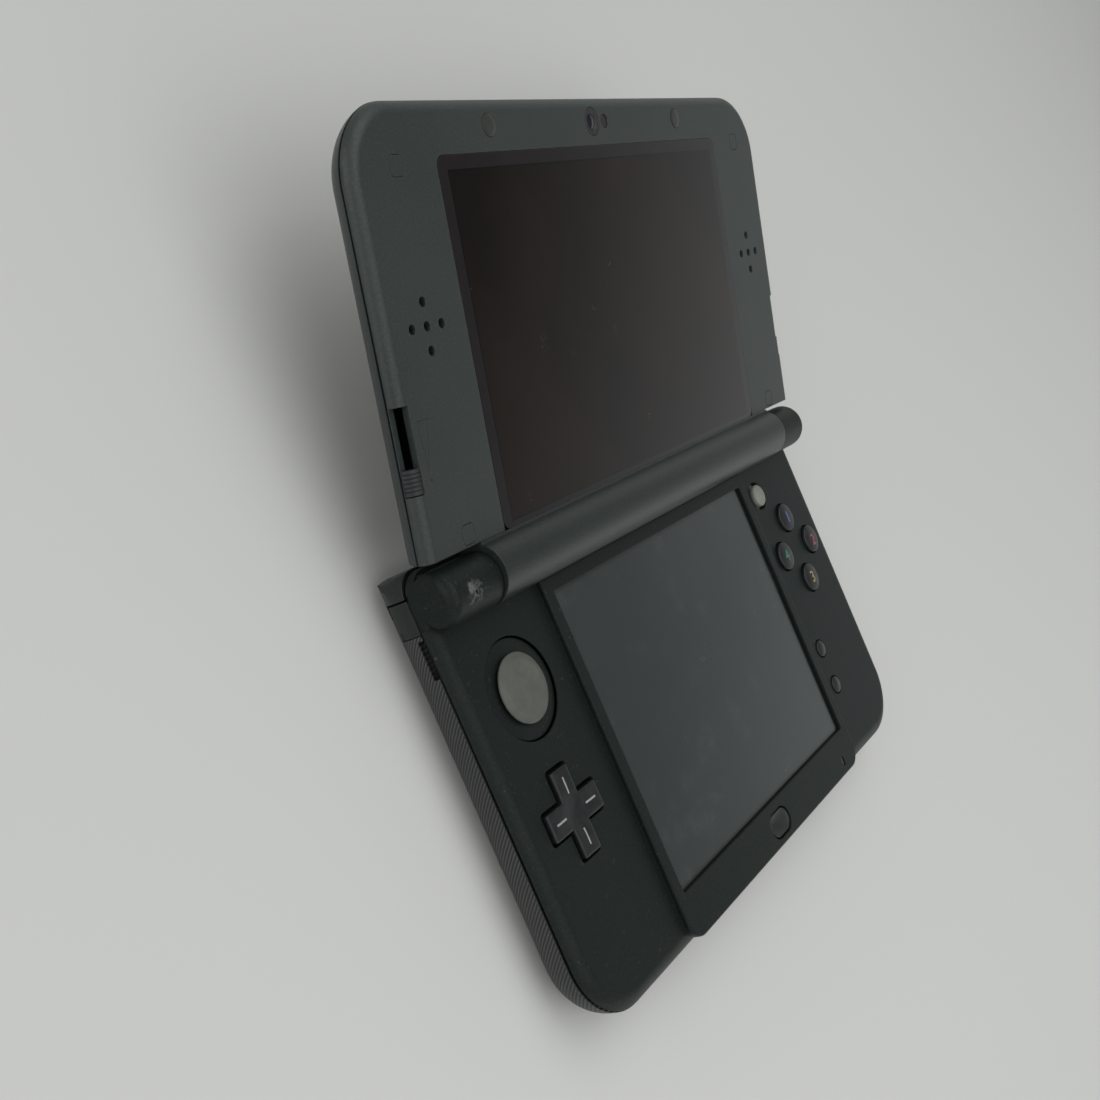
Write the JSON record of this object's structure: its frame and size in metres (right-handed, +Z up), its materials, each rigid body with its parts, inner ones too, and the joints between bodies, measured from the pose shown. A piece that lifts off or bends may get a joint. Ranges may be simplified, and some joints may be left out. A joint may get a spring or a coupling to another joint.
{
  "type": "clamshell handheld game console",
  "caption": "Handheld game console with two hinged halves, a screen in each, a slide pad, a direction pad, buttons and a stylus.",
  "frame": {"origin": "middle of the base's flat underside, halfway along its width and its depth", "axes": "+Z up out of the lower screen, +Y from the player to the hinge, +X to the player's right"},
  "size_m": [0.16, 0.166, 0.0387],
  "materials": {
    "shell_face": "satin dark charcoal plastic with a fine sparkle",
    "ribbed_cover": "matte dark grey plastic with fine ribs",
    "lid_back": "smooth dark charcoal plastic",
    "barrel": "satin charcoal plastic",
    "button_black": "smooth black plastic",
    "shoulder_black": "polished near-black plastic",
    "pad_grey": "matte grey rubbery plastic",
    "nub_grey": "light grey rubber",
    "screen_glass": "clear glass over a black border",
    "touch_film": "satin touch film over a dark screen",
    "display_metal": "sheet metal back",
    "board_green": "green circuit board",
    "battery_wrap": "printed plastic wrap, bare",
    "socket_steel": "stamped steel",
    "socket_black": "black moulded plastic",
    "pin_steel": "ground steel",
    "rubber_pad": "black rubber",
    "membrane": "translucent silicone",
    "cable_amber": "flexible circuit",
    "window_red": "dark infrared window",
    "speaker_dark": "speaker box"
  },
  "bodies": {
    "base": {"base_top_shell": "shell_face", "slide_pad_surround": "shell_face", "direction_pad_surround": "shell_face", "bottom_housing": "lid_back", "bottom_cover": "ribbed_cover", "rest_pads": "rubber_pad", "cover_screws": "pin_steel", "housing_screws": "pin_steel", "touch_panel": "touch_film", "lower_display": "display_metal", "main_board": "board_green", "wireless_module": "socket_steel", "battery": "battery_wrap", "game_card_slot": "socket_steel", "memory_card_slot": "socket_steel", "headphone_jack": "socket_black", "charging_port": "socket_steel", "infrared_window": "window_red", "status_light": "socket_black", "button_membrane": "membrane", "slide_pad_base": "socket_black", "pointing_nub": "nub_grey", "hinge_pins": "pin_steel"},
    "lid": {"hinge_barrel": "barrel", "hinge_cable": "cable_amber", "lid_inner_shell": "shell_face", "lid_outer_cover": "lid_back", "lid_screws": "pin_steel", "screw_covers": "shell_face", "lid_bumpers": "rubber_pad", "upper_glass": "screen_glass", "upper_display": "display_metal", "speakers": "speaker_dark", "inner_camera": "socket_black", "outer_cameras": "socket_black", "camera_board": "board_green", "light_sensor": "socket_black"},
    "slide_pad_carriage": {"slide_pad_carriage": "socket_black"},
    "slide_pad_cap": {"slide_pad_cap": "pad_grey"},
    "direction_pad_seat": {"direction_pad_seat": "membrane"},
    "direction_pad": {"direction_pad": "button_black"},
    "face_button_north": {"face_button_north": "button_black"},
    "face_button_east": {"face_button_east": "button_black"},
    "face_button_south": {"face_button_south": "button_black"},
    "face_button_west": {"face_button_west": "button_black"},
    "start_button": {"start_button": "button_black"},
    "select_button": {"select_button": "button_black"},
    "home_button": {"home_button": "button_black"},
    "power_button": {"power_button": "button_black"},
    "left_shoulder_button": {"left_shoulder_button": "shoulder_black"},
    "right_shoulder_button": {"right_shoulder_button": "shoulder_black"},
    "left_trigger": {"left_trigger": "shoulder_black"},
    "right_trigger": {"right_trigger": "shoulder_black"},
    "stylus": {"stylus": "button_black"},
    "volume_slider": {"volume_slider": "button_black"},
    "depth_slider": {"depth_slider": "button_black"}
  },
  "joints": [
    {"name": "lid_hinge", "type": "hinge", "parent": "base", "child": "lid", "pos_m": [0, 0.0391, 0.0147], "axis": [1, 0, 0], "range_deg": [0, 164]},
    {"name": "slide_pad_left_right", "type": "slide", "parent": "base", "child": "slide_pad_carriage", "axis": [1, 0, 0], "range_m": [-0.0023, 0.0023], "stiffness_N_per_m": 120},
    {"name": "slide_pad_fore_aft", "type": "slide", "parent": "slide_pad_carriage", "child": "slide_pad_cap", "axis": [0, 1, 0], "range_m": [-0.0023, 0.0023], "stiffness_N_per_m": 120},
    {"name": "direction_pad_fore_aft", "type": "hinge", "parent": "base", "child": "direction_pad_seat", "pos_m": [-0.0634, -0.008, 0.0091], "axis": [1, 0, 0], "range_deg": [-3.5, 3.5], "stiffness_Nm_per_rad": 0.08},
    {"name": "direction_pad_left_right", "type": "hinge", "parent": "direction_pad_seat", "child": "direction_pad", "pos_m": [-0.0634, -0.008, 0.0091], "axis": [0, 1, 0], "range_deg": [-3.5, 3.5], "stiffness_Nm_per_rad": 0.08},
    {"name": "face_button_north_press", "type": "slide", "parent": "base", "child": "face_button_north", "axis": [0, 0, -1], "range_m": [0, 0.0008], "stiffness_N_per_m": 900},
    {"name": "face_button_east_press", "type": "slide", "parent": "base", "child": "face_button_east", "axis": [0, 0, -1], "range_m": [0, 0.0008], "stiffness_N_per_m": 900},
    {"name": "face_button_south_press", "type": "slide", "parent": "base", "child": "face_button_south", "axis": [0, 0, -1], "range_m": [0, 0.0008], "stiffness_N_per_m": 900},
    {"name": "face_button_west_press", "type": "slide", "parent": "base", "child": "face_button_west", "axis": [0, 0, -1], "range_m": [0, 0.0008], "stiffness_N_per_m": 900},
    {"name": "start_press", "type": "slide", "parent": "base", "child": "start_button", "axis": [0, 0, -1], "range_m": [0, 0.0005], "stiffness_N_per_m": 900},
    {"name": "select_press", "type": "slide", "parent": "base", "child": "select_button", "axis": [0, 0, -1], "range_m": [0, 0.0005], "stiffness_N_per_m": 900},
    {"name": "home_press", "type": "slide", "parent": "base", "child": "home_button", "axis": [0, 0, -1], "range_m": [0, 0.0005], "stiffness_N_per_m": 900},
    {"name": "power_press", "type": "slide", "parent": "base", "child": "power_button", "axis": [0, 1, 0], "range_m": [0, 0.0006], "stiffness_N_per_m": 900},
    {"name": "left_shoulder_press", "type": "hinge", "parent": "base", "child": "left_shoulder_button", "pos_m": [-0.0758, 0.0426, 0.005], "axis": [0, 0, -1], "range_deg": [0, 3], "stiffness_Nm_per_rad": 0.6},
    {"name": "right_shoulder_press", "type": "hinge", "parent": "base", "child": "right_shoulder_button", "pos_m": [0.0758, 0.0426, 0.005], "axis": [0, 0, 1], "range_deg": [0, 3], "stiffness_Nm_per_rad": 0.6},
    {"name": "left_trigger_press", "type": "slide", "parent": "base", "child": "left_trigger", "axis": [0, -1, 0], "range_m": [0, 0.0007], "stiffness_N_per_m": 900},
    {"name": "right_trigger_press", "type": "slide", "parent": "base", "child": "right_trigger", "axis": [0, -1, 0], "range_m": [0, 0.0007], "stiffness_N_per_m": 900},
    {"name": "stylus_draw", "type": "slide", "parent": "base", "child": "stylus", "axis": [0, -1, 0], "range_m": [0, 0.07]},
    {"name": "volume_slide", "type": "slide", "parent": "lid", "child": "volume_slider", "axis": [0, 0.9613, 0.2756], "range_m": [0, 0.0106]},
    {"name": "depth_slide", "type": "slide", "parent": "lid", "child": "depth_slider", "axis": [0, 0.9613, 0.2756], "range_m": [0, 0.0106]}
  ]
}
